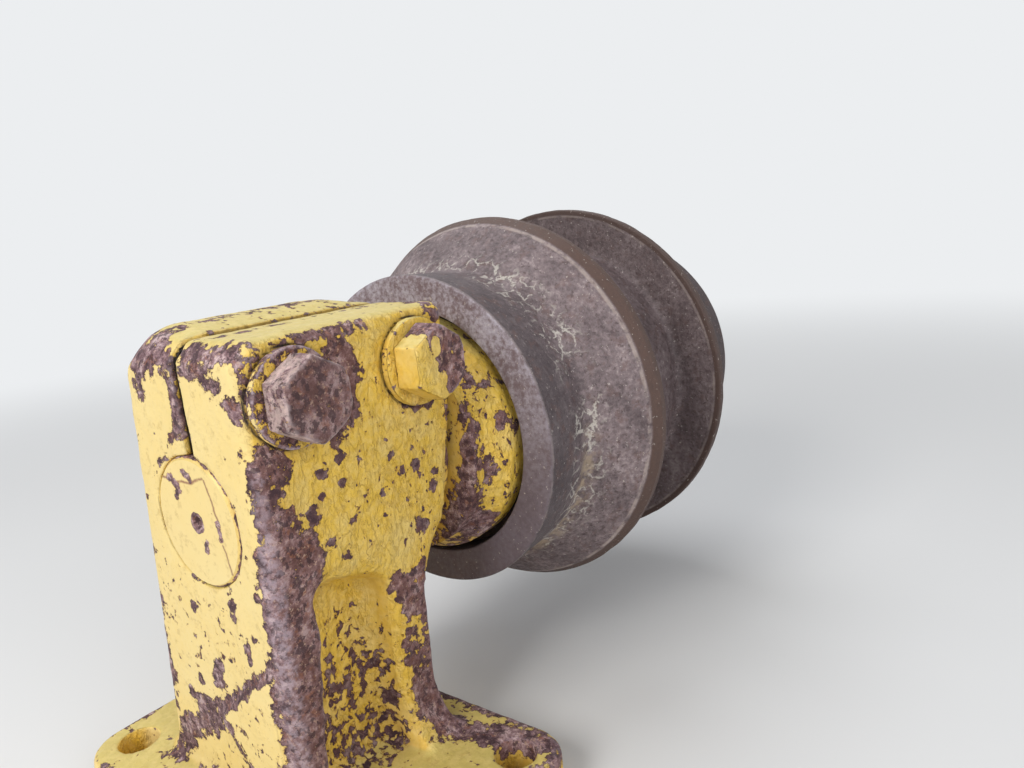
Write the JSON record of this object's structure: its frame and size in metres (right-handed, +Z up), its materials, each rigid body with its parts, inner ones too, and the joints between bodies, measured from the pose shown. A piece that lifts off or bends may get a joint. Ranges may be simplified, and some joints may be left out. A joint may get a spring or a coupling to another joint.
{
  "type": "track carrier roller with clamp bracket",
  "caption": "Flanged carrier roller on a shaft clamped in a cast, foot-mounted bracket, which holds up the upper run of a crawler machine's track.",
  "frame": {"origin": "centre of the foot's machined underside, where it bolts to the track frame", "axes": "+Z up, +Y along the roller's axis towards the machine, +X along the track"},
  "size_m": [0.258, 0.464, 0.307],
  "materials": {
    "painted_casting": "faded yellow enamel over rough cast steel, chipped through to rust at edges",
    "shaft_steel": "steel shaft, its outboard end painted over with the bracket",
    "roller_steel": "forged steel, worn, with a fine brown film of rust and dried mud",
    "seal_steel": "dark oily steel",
    "fastener_steel": "rusted steel",
    "painted_fastener": "yellow enamel, flaked to rust on one side"
  },
  "bodies": {
    "bracket": {"bracket_casting": "painted_casting", "roller_shaft": "shaft_steel", "collar": "painted_casting", "clamp_bolt_outboard": "fastener_steel", "head_washer_outboard": "fastener_steel", "clamp_bolt_inboard": "painted_fastener", "head_washer_inboard": "painted_fastener"},
    "roller": {"roller_shell": "roller_steel", "seal_ring": "seal_steel", "end_cover": "roller_steel"}
  },
  "joints": [
    {"name": "roller_spin", "type": "hinge", "parent": "bracket", "child": "roller", "pos_m": [0, 0.241, 0.178], "axis": [0, 1, 0], "continuous": true}
  ]
}
